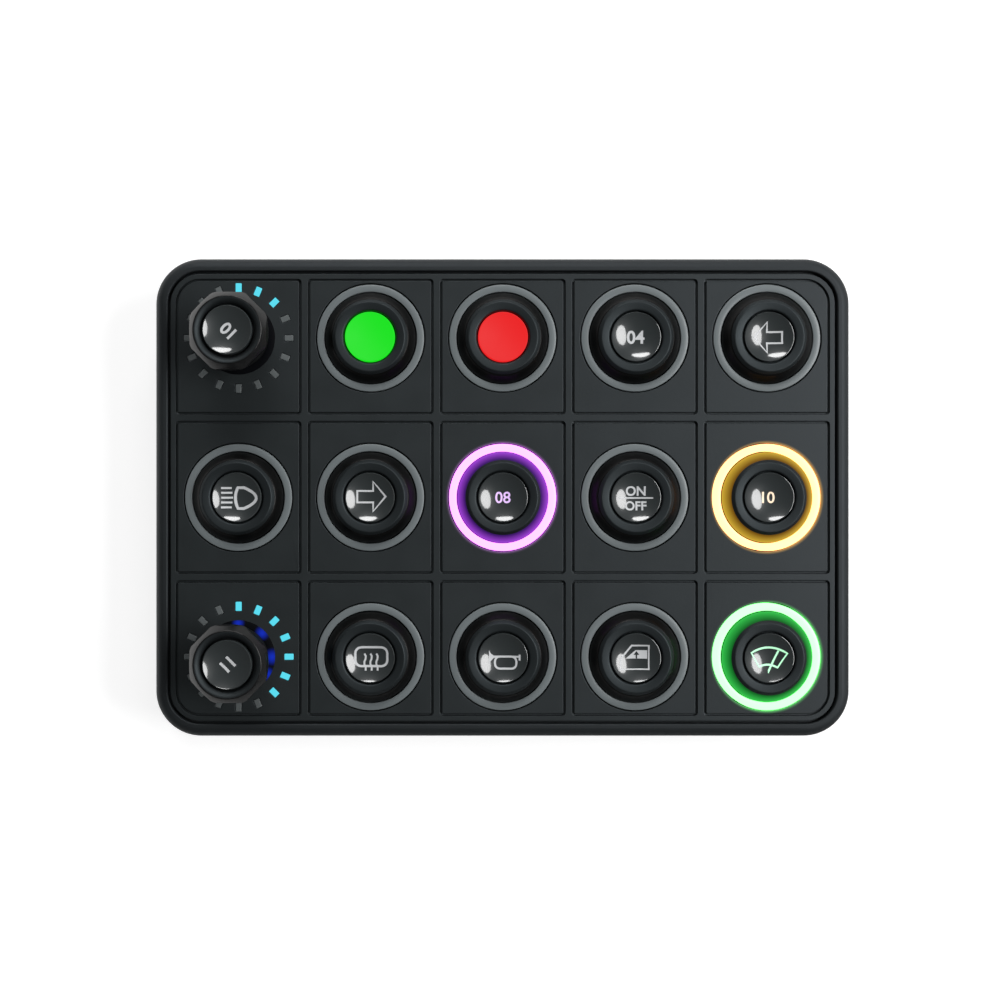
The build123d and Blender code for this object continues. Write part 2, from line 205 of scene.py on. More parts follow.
def soften(piece, width, sharper_than=30, segments=bevel_segments):
    """Rounds every edge of a piece that is sharper than an angle, by a width in millimetres."""
    bpy.context.view_layer.objects.active = piece
    rounding = piece.modifiers.new("rounding", "BEVEL")
    rounding.width = width * mm
    rounding.segments = segments
    rounding.limit_method = "ANGLE"
    rounding.angle_limit = math.radians(sharper_than)
    rounding.use_clamp_overlap = False
    rounding.miter_outer = "MITER_ARC"
    bpy.ops.object.modifier_apply(modifier=rounding.name)


def even_out(piece):
    """Keeps the shading of wide flat faces flat where narrow rounded edges meet them."""
    pick(piece)
    bpy.ops.object.shade_smooth_by_angle(angle=smooth_angle)
    evening = piece.modifiers.new("evening", "WEIGHTED_NORMAL")
    evening.keep_sharp = True
    evening.weight = 100
    bpy.ops.object.modifier_apply(modifier=evening.name)


def put_on(piece, body, slot, material, *nodes):
    """Gives a finished piece its material and its body, in place of these CAD nodes."""
    pick(piece)
    if not piece.data.has_custom_normals:
        bpy.ops.object.shade_smooth_by_angle(angle=smooth_angle)
    piece.data.materials.clear()
    piece.data.materials.append(material)
    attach(piece, body)
    if nodes:
        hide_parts(*nodes)


drift_size, tone_drift, gloss_drift = 7.0, 0.14, 0.05


def moulded(name, colour, roughness, grain, depth, ior=1.5, sheen="#ffffff"):
    """A moulding: the tool's eroded grain gives fine pits, and its gloss and tone drift slightly."""
    material, tree, place = new_material(name)
    pits = add_node(tree, "TexNoise", {"Vector": place, "Scale": 1 / (grain * mm), "Detail": 3})
    drift = add_node(
        tree, "TexNoise", {"Vector": place, "Scale": 1 / (drift_size * mm), "Detail": 3}
    ).outputs["Fac"]
    tone = add_node(
        tree, "MapRange", {"Value": drift, "To Min": 1 - tone_drift, "To Max": 1 + tone_drift}
    )
    shine = add_node(
        tree,
        "MapRange",
        {"Value": drift, "To Min": roughness - gloss_drift, "To Max": roughness + gloss_drift},
    )
    tint = add_node(
        tree, "HueSaturation", {"Value": tone.outputs["Result"], "Color": linear(colour)}
    )
    bump = add_node(tree, "Bump", {"Height": pits.outputs["Fac"], "Distance": depth * mm})
    shader = add_node(
        tree,
        "BsdfPrincipled",
        {
            "Base Color": tint.outputs["Color"],
            "Roughness": shine.outputs["Result"],
            "IOR": ior,
            "Specular Tint": linear(sheen),
            "Normal": bump.outputs["Normal"],
        },
    )
    add_node(tree, "OutputMaterial", {"Surface": shader.outputs["BSDF"]})
    return material


# Black glass-filled nylon from an eroded tool: a dull, finely pitted skin.
nylon = moulded("black_glass_filled_nylon", "#1b1d1e", roughness=0.5, grain=0.35, depth=0.006)
rear_cover = merged_copy("rear_cover", "rear_cover_shell")
soften(rear_cover, cover_edge)
even_out(rear_cover)
put_on(rear_cover, "housing", "housing_plastic", nylon, "rear_cover")

# ---- Mounting inserts
# Four hexagonal nuts turned from brass and moulded into the cover's bosses. Their threads are open
# to the back for M4 screws.


def dress(node, material):
    """A CAD node keeps its own mesh and takes this material."""
    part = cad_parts[node].data
    part.materials.clear()
    part.materials.append(material)


# Turned brass: a warm metal with slight tarnish, and the thread's ridges in the bore.
thread_pitch = 0.7
brass, tree, place = new_material("turned_brass")
ridges = add_node(
    tree,
    "TexWave",
    {"Vector": place, "Scale": math.pi / 10 / (thread_pitch * mm)},
    bands_direction="Z",
)
bump = add_node(tree, "Bump", {"Height": ridges.outputs["Fac"], "Distance": 0.25 * mm})
tarnish = add_node(tree, "TexNoise", {"Vector": place, "Scale": 1 / (1.5 * mm), "Detail": 4})
shine = add_node(tree, "MapRange", {"Value": tarnish.outputs["Fac"], "To Min": 0.22, "To Max": 0.42})
shader = add_node(
    tree,
    "BsdfPrincipled",
    {
        "Base Color": linear("#d8b265"),
        "Metallic": 1.0,
        "Roughness": shine.outputs["Result"],
        "Normal": bump.outputs["Normal"],
    },
)
add_node(tree, "OutputMaterial", {"Surface": shader.outputs["BSDF"]})
dress("mounting_inserts", brass)

# ---- Connector
# A rectangular shroud moulded in black polyester, with six square pins of tinned brass that are
# soldered to the board's back. The harness plug enters it through the cover.
pbt = moulded("black_pbt", "#16181a", roughness=0.42, grain=0.5, depth=0.004)
dress("connector_socket", pbt)

# Tinned brass: a pale, slightly dull metal.
tin, tree, place = new_material("tinned_brass")
cloud = add_node(tree, "TexNoise", {"Vector": place, "Scale": 1 / (0.8 * mm), "Detail": 3})
shine = add_node(tree, "MapRange", {"Value": cloud.outputs["Fac"], "To Min": 0.2, "To Max": 0.4})
shader = add_node(
    tree,
    "BsdfPrincipled",
    {"Base Color": linear("#d5d3cc"), "Metallic": 1.0, "Roughness": shine.outputs["Result"]},
)
add_node(tree, "OutputMaterial", {"Surface": shader.outputs["BSDF"]})
dress("connector_pins", tin)

# ---- Gasket
# A flat ring cut from a sheet of black nitrile rubber. It is pressed between the cover's raised field
# and the housing's wall, and keeps water out.
gasket_rubber = moulded("black_nitrile_rubber", "#121314", roughness=0.7, grain=0.4, depth=0.01)
dress("cover_gasket", gasket_rubber)

# ---- Circuit board with its switches, lamps and encoders
# Glass-epoxy board under green solder mask. The switches, the side lamps and the two encoders'
# square housings are soldered to its front.
solder_mask = moulded("green_solder_mask", "#0f4a2a", roughness=0.3, grain=1.2, depth=0.01)
switch_nylon = moulded("black_switch_nylon", "#1a1a1b", roughness=0.4, grain=0.5, depth=0.004)
lamp_epoxy = moulded("milky_lamp_epoxy", "#e8e4cf", roughness=0.3, grain=0.4, depth=0.004)
encoder_plastic = moulded("encoder_thermoplastic", "#26282a", roughness=0.45, grain=0.5, depth=0.005)
rotor_acetal = moulded("white_acetal", "#dcdcd6", roughness=0.35, grain=0.6, depth=0.004)
dress("circuit_board", solder_mask)
dress("key_switches", switch_nylon)
dress("board_lamps", lamp_epoxy)
dress("encoder_bodies", encoder_plastic)

# Nickel-plated steel: a bright shaft with fine turning marks round it, drawn coarse.
mark_pitch = 0.35
steel, tree, place = new_material("nickel_plated_steel")
marks = add_node(
    tree,
    "TexWave",
    {"Vector": place, "Scale": math.pi / 10 / (mark_pitch * mm)},
    bands_direction="Z",
)
bump = add_node(tree, "Bump", {"Height": marks.outputs["Fac"], "Distance": 0.004 * mm})
shader = add_node(
    tree,
    "BsdfPrincipled",
    {
        "Base Color": linear("#c9c8c4"),
        "Metallic": 1.0,
        "Roughness": 0.28,
        "Normal": bump.outputs["Normal"],
    },
)
add_node(tree, "OutputMaterial", {"Surface": shader.outputs["BSDF"]})
knob_names = ["1", "2"]
for name in knob_names:
    dress(f"encoder_rotor_{name}", rotor_acetal)
    dress(f"encoder_shaft_{name}", steel)

# ---- Front housing
# One tray moulded in black ABS: a rounded rim round a shallow recess for the mat, and a deck with
# a window for each key's stem, each lamp, each light post and each knob's shaft.
rim_width = 3.05
rim_round = 2.4
rim_edge = 0.35
wall = 3.0
housing_corner = 10.35
deck_top = 20.0
deck_thickness = 3.0
stem_window = 12.3
ring_radius = 11.325
light_window = 1.4
tick_radius = 11.45
tick_window = (2.1, 1.4)
tick_count = 16
shaft_hole_radius = 3.3
deck_cut = 4.0
near = 0.01
key_names = sorted(n.removeprefix("key_cap_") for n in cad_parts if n.startswith("key_cap_"))


def middle(node):
    """The middle of a CAD node in plan, in metres."""
    low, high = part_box(node)
    return Vector(((low.x + high.x) / 2, (low.y + high.y) / 2, 0))


key_places = {name: middle(f"key_insert_{name}") for name in key_names}
knob_places = {name: middle(f"knob_insert_{name}") for name in knob_names}


def choose(kind, test):
    """Selects the verts, edges or faces of the mesh in hand whose middle passes a test, in mm."""
    bpy.ops.mesh.select_mode(type={"verts": "VERT", "edges": "EDGE", "faces": "FACE"}[kind])
    bpy.ops.mesh.select_all(action="DESELECT")
    shape = bmesh.from_edit_mesh(bpy.context.object.data)
    for element in getattr(shape, kind):
        corners = [element] if kind == "verts" else element.verts
        if test(sum((v.co for v in corners), Vector()) / len(corners) / mm, element):
            element.select_set(True)
    shape.select_flush_mode()
    bmesh.update_edit_mesh(bpy.context.object.data)


def plate(length, width, place):
    """A flat rectangle of this size in millimetres, centred on a place in metres, in edit mode."""
    bpy.ops.object.select_all(action="DESELECT")
    bpy.ops.mesh.primitive_plane_add(size=1, location=place)
    bpy.context.object.scale = (length * mm, width * mm, 1)
    bpy.ops.object.transform_apply()
    bpy.ops.object.mode_set(mode="EDIT")
    return bpy.context.object


def rounded_plate(name, length, width, corner, height):
    """A flat rounded rectangle round the origin, left in edit mode with its face selected."""
    piece = plate(length, width, (0, 0, height * mm))
    piece.name = name
    choose("verts", lambda co, v: True)
    bpy.ops.mesh.bevel(offset=corner * mm, segments=20, affect="VERTICES")
    bpy.ops.mesh.select_all(action="SELECT")
    return piece


def lift_face(rise):
    """Draws the selected faces out by a rise in millimetres."""
    bpy.ops.mesh.extrude_region_move(TRANSFORM_OT_translate={"value": (0, 0, rise * mm)})


def block(size, place):
    """A box of this size in millimetres, centred on a place in metres."""
    bpy.ops.object.select_all(action="DESELECT")
    bpy.ops.mesh.primitive_cube_add(size=1, location=place)
    bpy.context.object.scale = [side * mm for side in size]
    bpy.ops.object.transform_apply()
    return bpy.context.object


def cylinder(radius, depth, place, segments=64):
    """An upright cylinder of this size in millimetres, centred on a place in metres."""
    bpy.ops.mesh.primitive_cylinder_add(
        vertices=segments, radius=radius * mm, depth=depth * mm, location=place
    )
    bpy.ops.object.transform_apply()
    return bpy.context.object


def join(name, parts):
    """Joins several objects into one."""
    bpy.ops.object.select_all(action="DESELECT")
    for part in parts:
        part.select_set(True)
    bpy.context.view_layer.objects.active = parts[0]
    if len(parts) > 1:
        bpy.ops.object.join()
    bpy.context.object.name = name
    return bpy.context.object


def cut(piece, cutter):
    """Cuts the cutter's form out of a piece."""
    cutting = piece.modifiers.new("cutting", "BOOLEAN")
    cutting.object = cutter
    cutting.solver = "EXACT"
    cutting.use_self = True
    bpy.context.view_layer.objects.active = piece
    bpy.ops.object.modifier_apply(modifier=cutting.name)
    bpy.data.objects.remove(cutter)


def tick_blocks(centre, size, height):
    """Sixteen boxes in a ring round a knob, clockwise from its top."""
    boxes = []
    for step in range(tick_count):
        clockwise = math.radians(90) - step * math.tau / tick_count
        box = block(size, (tick_radius * mm, 0, height * mm))
        turn = Matrix.Rotation(clockwise, 4, "Z")
        box.data.transform(Matrix.Translation(centre) @ turn)
        boxes.append(box)
    return boxes


low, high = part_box("front_housing")
length, width = (high.x - low.x) / mm, (high.y - low.y) / mm
bottom, face = low.z / mm, high.z / mm
deck_bottom = deck_top - deck_thickness
housing = rounded_plate("front_housing_shell", length, width, housing_corner, bottom)
lift_face(face - bottom)
choose("faces", lambda co, f: co.z > face - near)
bpy.ops.mesh.inset(thickness=rim_width * mm)
lift_face(deck_top - face)
choose("faces", lambda co, f: co.z < bottom + near)
bpy.ops.mesh.inset(thickness=wall * mm)
lift_face(deck_bottom - bottom)
outline = (length / 2 - rim_width / 2, width / 2 - rim_width / 2)


def outside(co):
    """Whether a point lies on the outer side of the rim's middle line."""
    corner = housing_corner - rim_width / 2
    dx = max(abs(co.x) - (outline[0] - corner), 0)
    dy = max(abs(co.y) - (outline[1] - corner), 0)
    return math.hypot(dx, dy) > corner


def on_rim(edge):
    """Whether an edge lies in the rim's top face."""
    return min(v.co.z for v in edge.verts) / mm > face - near


choose("edges", lambda co, e: on_rim(e) and outside(co))
bpy.ops.mesh.bevel(offset=rim_round * mm, segments=10, affect="EDGES")
choose("edges", lambda co, e: on_rim(e) and not outside(co))
bpy.ops.mesh.bevel(offset=rim_edge * mm, segments=3, affect="EDGES")
bpy.ops.object.mode_set(mode="OBJECT")
deck_middle = (deck_top + deck_bottom) / 2
cutters = []
for centre in key_places.values():
    place = centre + Vector((0, 0, deck_middle * mm))
    cutters.append(block((stem_window, stem_window, deck_cut), place))
    for side in (-1, 1):
        place = centre + Vector((side * ring_radius, 0, deck_middle)) * mm
        cutters.append(block((light_window, light_window, deck_cut), place))
for centre in knob_places.values():
    place = centre + Vector((0, 0, deck_middle * mm))
    cutters.append(cylinder(shaft_hole_radius, deck_cut, place))
    cutters += tick_blocks(centre, (*tick_window, deck_cut), deck_middle)
cut(housing, join("deck_windows", cutters))

# Black ABS from an eroded tool: a deep satin black with a fine grain.
even_out(housing)
abs_black = moulded(
    "black_abs", "#181b1c", roughness=0.58, grain=0.4, depth=0.006, ior=1.45, sheen="#eef7ff"
)
put_on(housing, "housing", "housing_plastic", abs_black, "front_housing")

# ---- Light guides of the knobs' scales
# Sixteen clear acrylic posts on a ring under the deck, which come up through the mat round each
# knob. Their ends are frosted, and those that the setting has reached are lit.
tick_size = (2.0, 1.3)
tick_edge = 0.12
lit_ticks = {"1": 3, "2": 7}


def light_guide(name, colour, glow, strength):
    """Frosted acrylic that carries light from a lamp under it to its end."""
    material, tree, place = new_material(name)
    frost = add_node(tree, "TexNoise", {"Vector": place, "Scale": 1 / (0.3 * mm), "Detail": 2})
    bump = add_node(tree, "Bump", {"Height": frost.outputs["Fac"], "Distance": 0.006 * mm})
    shader = add_node(
        tree,
        "BsdfPrincipled",
        {
            "Base Color": linear(colour),
            "Roughness": 0.4,
            "IOR": 1.49,
            "Emission Color": linear(glow),
            "Emission Strength": strength,
            "Normal": bump.outputs["Normal"],
        },
    )
    add_node(tree, "OutputMaterial", {"Surface": shader.outputs["BSDF"]})
    return material


tick_dull = light_guide("frosted_acrylic_unlit", "#5a5f60", "#ffffff", 0.0)
tick_bright = light_guide("frosted_acrylic_cyan", "#0a1a20", "#5ae0f4", 0.95)
for name, centre in knob_places.items():
    foot, top = (corner.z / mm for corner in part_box(f"tick_guide_{name}"))
    posts = tick_blocks(centre, (*tick_size, top - foot), (top + foot) / 2)
    lit_posts, unlit_posts = posts[: lit_ticks[name]], posts[lit_ticks[name] :]
    for state, parts, slot, material in (
        ("lit", lit_posts, "tick_lit", tick_bright),
        ("unlit", unlit_posts, "tick_guide", tick_dull),
    ):
        ticks = join(f"ticks_{state}_{name}", parts)
        soften(ticks, tick_edge)
        even_out(ticks)
        put_on(ticks, "housing", slot, material, f"tick_guide_{name}")

# ---- Face mat
# One black silicone moulding that covers the whole deck: fifteen raised tiles between ribs, with a
# round opening for each key and slots for the light posts. It is bonded down inside the rim.
columns, rows = (-2, -1, 0, 1, 2), (-1, 0, 1)
column_pitch = 30.0
row_pitch = 36.2
tile_gap = 2.5
row_margin = 12.9
groove_width = 0.5
groove_depth = 0.8
groove_corner = 0.8
groove_cut = 1.0
tile_corner = 5.0
mat_edge = 0.14
mat_cut = 5.0
well_radius = 12.43
low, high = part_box("face_mat")
length, width = (high.x - low.x) / mm, (high.y - low.y) / mm
foot, face = low.z / mm, high.z / mm
border = (length - (len(columns) * column_pitch - tile_gap)) / 2
mat = rounded_plate("face_mat_skin", length, width, tile_corner + border, foot)
lift_face(face - foot)


def close_up():
    """Turns the faces of the mesh in hand outwards and leaves edit mode."""
    bpy.ops.mesh.select_all(action="SELECT")
    bpy.ops.mesh.normals_make_consistent(inside=False)
    bpy.ops.object.mode_set(mode="OBJECT")


close_up()
cutters = []
for row in rows:
    for column in columns:
        half_pitch = (row_pitch - tile_gap) / 2
        top = row * row_pitch + (row_margin if row == rows[-1] else half_pitch) + groove_width
        bottom = row * row_pitch - (row_margin if row == rows[0] else half_pitch) - groove_width
        across = column_pitch - tile_gap + 2 * groove_width
        centre = (column * column_pitch * mm, (top + bottom) / 2 * mm, face * mm)
        groove = plate(across, top - bottom, centre)
        if abs(column) == columns[-1] and row != 0:
            choose(
                "verts",
                lambda co, v: abs(co.x) > columns[-1] * column_pitch and abs(co.y) > row_pitch,
            )
            radius = tile_corner + groove_width
            bpy.ops.mesh.bevel(offset=radius * mm, segments=16, affect="VERTICES")
        sides = (column * column_pitch - across / 2, column * column_pitch + across / 2)
        choose(
            "verts",
            lambda co, v: min(abs(co.x - side) for side in sides) < near
            and min(abs(co.y - side) for side in (top, bottom)) < near,
        )
        bpy.ops.mesh.bevel(offset=groove_corner * mm, segments=6, affect="VERTICES")
        bpy.ops.mesh.select_all(action="SELECT")
        lift_face(groove_cut)
        bpy.ops.mesh.select_all(action="SELECT")
        bpy.ops.transform.translate(value=(0, 0, -groove_depth * mm))
        choose("faces", lambda co, f: abs(f.normal.z) > 0.9)
        bpy.ops.mesh.inset(thickness=groove_width * mm)
        bpy.ops.mesh.bridge_edge_loops()
        close_up()
        cutters.append(groove)
cut(mat, join("grooves", cutters))
mat_middle = (foot + face) / 2
cutters = []
for centre in key_places.values():
    place = centre + Vector((0, 0, mat_middle * mm))
    cutters.append(cylinder(well_radius, mat_cut, place, segments=128))
for centre in knob_places.values():
    place = centre + Vector((0, 0, mat_middle * mm))
    cutters.append(cylinder(shaft_hole_radius, mat_cut, place))
    cutters += tick_blocks(centre, (*tick_window, mat_cut), mat_middle)
cut(mat, join("openings", cutters))
soften(mat, mat_edge, segments=2)
even_out(mat)

# Silicone with a soft-touch coat: almost black, with a broad dull sheen and faint cloudy patches.
# A painted glow in each lit ring's colour lies round that ring's opening and fades out within 0.65 mm.
painted_glow_reach = 0.65
painted_ring_glows = {"r2c3": "#503859", "r2c5": "#816530", "r3c5": "#38763f"}
silicone = moulded(
    "soft_touch_silicone", "#181c1c", roughness=0.5, grain=0.6, depth=0.012, ior=1.51, sheen="#ecf6ff"
)
tree = silicone.node_tree
place = add_node(tree, "TexCoord").outputs["Object"]
level = add_node(tree, "VectorMath", {0: place, 1: (1, 1, 0)}, operation="MULTIPLY").outputs[0]
painted_glow_sum = (0.0, 0.0, 0.0)
for name, colour in painted_ring_glows.items():
    away = add_node(tree, "VectorMath", {0: level, 1: key_places[name]}, operation="DISTANCE")
    share = add_node(
        tree,
        "MapRange",
        {
            "Value": away.outputs["Value"],
            "From Min": well_radius * mm,
            "From Max": (well_radius + painted_glow_reach) * mm,
            "To Min": 1.0,
            "To Max": 0.0,
        },
        interpolation_type="SMOOTHERSTEP",
    ).outputs["Result"]
    tinted = add_node(
        tree, "VectorMath", {0: linear(colour)[:3], "Scale": share}, operation="SCALE"
    ).outputs[0]
    painted_glow_sum = add_node(tree, "VectorMath", {0: painted_glow_sum, 1: tinted}, operation="ADD").outputs[0]
# The painted glow of the lit rings goes in as the silicone's emission.
shader = tree.nodes["Principled BSDF"]
tree.links.new(painted_glow_sum, shader.inputs["Emission Color"])
shader.inputs["Emission Strength"].default_value = 1.0
put_on(mat, "housing", "mat_silicone", silicone, "face_mat")

# ---- Halo rings
# A ring of frosted acrylic stands on the deck round each key, over two lamps, and guides their light
# to its top. Three of the rings are lit.
ring_outer, ring_inner = 12.15, 10.5
ring_edge = 0.18


def turned(name, profile, segments=96):
    """A body turned about the Z axis through the origin, from radii and heights in millimetres."""
    bpy.ops.object.select_all(action="DESELECT")
    radius, height = profile[0]
    bpy.ops.mesh.primitive_circle_add(
        vertices=segments, radius=radius * mm, location=(0, 0, height * mm)
    )
    bpy.ops.object.transform_apply()
    bpy.context.object.name = name
    bpy.ops.object.mode_set(mode="EDIT")
    bpy.ops.mesh.select_all(action="SELECT")
    for next_radius, next_height in profile[1:]:
        rise = (0, 0, (next_height - height) * mm)
        bpy.ops.mesh.extrude_edges_move(TRANSFORM_OT_translate={"value": rise})
        spread = next_radius / radius
        bpy.ops.transform.resize(value=(spread, spread, 1), center_override=(0, 0, 0))
        radius, height = next_radius, next_height
    bpy.ops.mesh.select_all(action="SELECT")
    bpy.ops.mesh.remove_doubles(threshold=0.001 * mm)
    bpy.ops.mesh.fill_holes(sides=0)
    close_up()
    return bpy.context.object


def copy_to(pattern, name, place):
    """A copy of a piece with its own mesh, moved to a place in its mesh."""
    twin = add_object(name, pattern.data.copy())
    twin.data.transform(Matrix.Translation(place))
    return twin


low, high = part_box("halo_rings")
ring_foot, ring_top = low.z / mm, high.z / mm
ring_section = [
    (ring_outer, ring_foot),
    (ring_outer, ring_top - ring_edge),
    (ring_outer - ring_edge / 3, ring_top - ring_edge / 3),
    (ring_outer - ring_edge, ring_top),
    (ring_inner + ring_edge, ring_top),
    (ring_inner + ring_edge / 3, ring_top - ring_edge / 3),
    (ring_inner, ring_top - ring_edge),
    (ring_inner, ring_foot),
    (ring_outer, ring_foot),
]
ring_pattern = turned("ring_pattern", ring_section, segments=128)
ring_plain = light_guide("frosted_acrylic_plain", "#6a7173", "#ffffff", 0.0)
ring_glows = {
    "r2c3": ("violet", "#e779ff", 3.6),
    "r2c5": ("amber", "#ffaa69", 4.2),
    "r3c5": ("green", "#79ff7e", 4.0),
}
ring_finishes = {
    name: (f"halo_{hue}", light_guide(f"frosted_acrylic_{hue}", "#050505", glow, strength))
    for name, (hue, glow, strength) in ring_glows.items()
}
for name, place in key_places.items():
    slot, ring_finish = ring_finishes.get(name, ("halo_plain", ring_plain))
    ring = copy_to(ring_pattern, f"halo_ring_{name}", place)
    put_on(ring, "housing", slot, ring_finish, "halo_rings")
bpy.data.objects.remove(ring_pattern)

# ---- Light collars
# A thin clear acrylic ring lies on the mat round the foot of each knob. Spots of deep blue glow are
# painted on it past the knob's skirt, near the posts that are lit; the first knob's collar has none.
collar_outer, collar_inner = 8.3, 6.7
collar_edge, collar_slope = 0.1, 0.6
collar_glow_radius, collar_glow_strength = 7.7, 1.3
low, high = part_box("light_collars")
collar_foot, collar_top = low.z / mm, high.z / mm
collar_section = [
    (collar_outer, collar_foot),
    (collar_outer, collar_foot + collar_edge),
    (collar_outer - collar_slope, collar_top),
    (collar_inner + collar_edge, collar_top),
    (collar_inner, collar_top - collar_edge),
    (collar_inner, collar_foot),
    (collar_outer, collar_foot),
]
collar_pattern = turned("collar_pattern", collar_section)
# Painted glow spots: the tick step each one lies at, and how far it reaches in mm.
collar_glow_spots = {"1": {}, "2": {0: 1.7, 2: 2.0, 4: 2.3, 5.35: 2.0}}
for name, centre in knob_places.items():
    collar_acrylic, tree, place = new_material(f"clear_acrylic_collar_{name}")
    glow = 0.0
    for step, reach in collar_glow_spots[name].items():
        turn = math.radians(90) - step * math.tau / tick_count
        spot = centre + Vector((math.cos(turn), math.sin(turn), 0)) * collar_glow_radius * mm
        spot.z = collar_top * mm
        away = add_node(tree, "VectorMath", {0: place, 1: spot}, operation="DISTANCE")
        share = add_node(
            tree,
            "MapRange",
            {"Value": away.outputs["Value"], "From Max": reach * mm, "To Min": collar_glow_strength, "To Max": 0.0},
            interpolation_type="SMOOTHSTEP",
        ).outputs["Result"]
        glow = add_node(tree, "Math", {0: glow, 1: share}, operation="ADD").outputs[0]
    shader = add_node(
        tree,
        "BsdfPrincipled",
        {
            "Base Color": linear("#08090c"),
            "Roughness": 0.6,
            "IOR": 1.1,
            "Emission Color": linear("#0a24a0"),
            "Emission Strength": glow,
        },
    )
    add_node(tree, "OutputMaterial", {"Surface": shader.outputs["BSDF"]})
    collar = copy_to(collar_pattern, f"light_collar_{name}", centre)
    put_on(collar, "housing", "tick_guide", collar_acrylic, "light_collars")
bpy.data.objects.remove(collar_pattern)

# ---- Key caps
# A round cap in black ABS with a rolled-over shoulder, moulded in one with the square stem that
# runs in the deck's window, the foot that holds it under the deck and the plunger over the switch.
cap_profile = [
    (8.4, 21.3),
    (8.45, 21.35),
    (8.5, 24.3),
    (8.48, 24.46),
    (7.94, 24.975),
    (7.87, 25.03),
    (7.78, 25.06),
    (7.7, 25.07),
    (7.6, 25.065),
    (7.1, 25.0),
    (6.4, 24.9),
    (6.22, 24.86),
    (6.08, 24.78),
    (5.98, 24.66),
    (5.93, 24.5),
    (5.9, 23.1),
]
stem_width, foot_width, plunger_width = 12.0, 14.4, 3.0
stem_top, foot_top, foot_bottom, plunger_tip = 21.4, 16.9, 15.7, 13.0


def prism(side, top, bottom):
    """An upright square block on the Z axis, between two heights in millimetres."""
    return block((side, side, top - bottom), (0, 0, (top + bottom) / 2 * mm))


cap_parts = [
    turned("cap_head", cap_profile),
    prism(stem_width, stem_top, foot_top),
    prism(foot_width, foot_top, foot_bottom),
    prism(plunger_width, foot_bottom, plunger_tip),
]
cap_pattern = join("cap_pattern", cap_parts)
cap_abs = moulded(
    "satin_black_abs", "#0c0f10", roughness=0.52, grain=0.3, depth=0.003, ior=1.48, sheen="#e8f8ff"
)


def fit_keys(pattern, title, plain, special=(), node=None):
    """Puts a copy of a pattern on each key, with a finish of its own where it has one."""
    for name, place in key_places.items():
        slot, finish = dict(special).get(name, plain)
        nodes = [f"{node}_{name}"] if node else []
        put_on(copy_to(pattern, f"{title}_{name}", place), f"key_{name}", slot, finish, *nodes)
    bpy.data.objects.remove(pattern)


fit_keys(cap_pattern, "key_cap_body", ("cap_plastic", cap_abs), node="key_cap")

# ---- Key skirts
# A thin apron of glossy black acrylic spreads from each cap's shoulder down to the ring and closes the
# well to dust. It moves with the cap. Where the ring is lit, a glow in the ring's colours is painted on
# the apron, brightest at its foot.
skirt_section = [
    (8.46, 24.3),
    (8.54, 24.36),
    (8.6, 24.34),
    (9.0, 23.88),
    (9.5, 23.25),
    (10.0, 22.57),
    (10.3, 22.14),
    (10.3, 22.04),
    (9.5, 23.12),
    (8.46, 24.2),
    (8.46, 24.3),
]
skirt_top, skirt_foot = 24.3, 22.1
skirt_pattern = turned("skirt_pattern", skirt_section, segments=128)


def painted_glow_skirt(name, near_ring, near_cap):
    """Black acrylic with a painted glow in a lit ring's colours, brightest at its foot."""
    material, tree, place = new_material(name)
    height = add_node(tree, "SeparateXYZ", {"Vector": place}).outputs["Z"]
    rise = add_node(
        tree, "MapRange", {"Value": height, "From Min": skirt_foot * mm, "From Max": skirt_top * mm}
    ).outputs["Result"]
    glow = add_node(
        tree, "Mix", {0: rise, 6: linear(near_ring), 7: linear(near_cap)}, data_type="RGBA"
    )
    shader = add_node(
        tree,
        "BsdfPrincipled",
        {
            "Base Color": linear("#040404"),
            "Roughness": 0.6,
            "IOR": 1.2,
            "Emission Color": glow.outputs[2],
            "Emission Strength": 1.0,
        },
    )
    add_node(tree, "OutputMaterial", {"Surface": shader.outputs["BSDF"]})
    return material


skirt_black = moulded(
    "glossy_black_acrylic", "#030303", roughness=0.34, grain=0.5, depth=0.001, ior=1.35
)
# Painted glow of each lit ring on its skirt: the colour at the foot, by the ring, and at the top, by the
# cap.
skirt_painted_glows = {
    "r2c3": ("violet", "#983ed0", "#3c1468"),
    "r2c5": ("amber", "#cca834", "#74500e"),
    "r3c5": ("green", "#30be4a", "#0e6822"),
}
skirt_finishes = {
    name: (f"halo_{hue}", painted_glow_skirt(f"acrylic_{hue}_lit", near_ring, near_cap))
    for name, (hue, near_ring, near_cap) in skirt_painted_glows.items()
}
fit_keys(skirt_pattern, "key_skirt", ("cap_plastic", skirt_black), skirt_finishes)

# ---- Key inserts
# A disc of smoke-black polycarbonate with a hard coat, snapped into each cap. Its face is dished
# for the fingertip, with a fine bead round it. Two of them are clear coloured discs, lit from below.
insert_radius = 5.62
dish_sphere = 10.9
insert_seat = 23.1
dish_floor = 23.42
insert_rim = 24.9
bead = 0.2


def dish_height(radius, sphere, floor):
    """Height of a dish's surface at a radius from its middle, in millimetres."""
    return floor + sphere - math.sqrt(sphere**2 - radius**2)


def dished_disc(name, radius, seat, rim, sphere, floor):
    """A round disc from its seat to a rounded bead, with a spherical dish inside the bead."""
    bead_inside = radius - bead
    edge = dish_height(bead_inside, sphere, floor)
    profile = [
        (radius, seat),
        (radius, rim - bead),
        (radius - 0.03, rim - 0.1),
        (radius - 0.09, rim - 0.02),
        (radius - 0.16, rim),
        (bead_inside, edge + 0.005),
    ]
    steps = 12
    radii = [bead_inside * (1 - step / steps) for step in range(1, steps)]
    for inner in [bead_inside - 0.02, bead_inside - 0.1, *radii]:
        profile.append((inner, dish_height(inner, sphere, floor)))
    pole_radius = 0.12
    profile.append((pole_radius, floor))
    return turned(name, profile)


haze_size, haze_drift = 2.5, 0.04


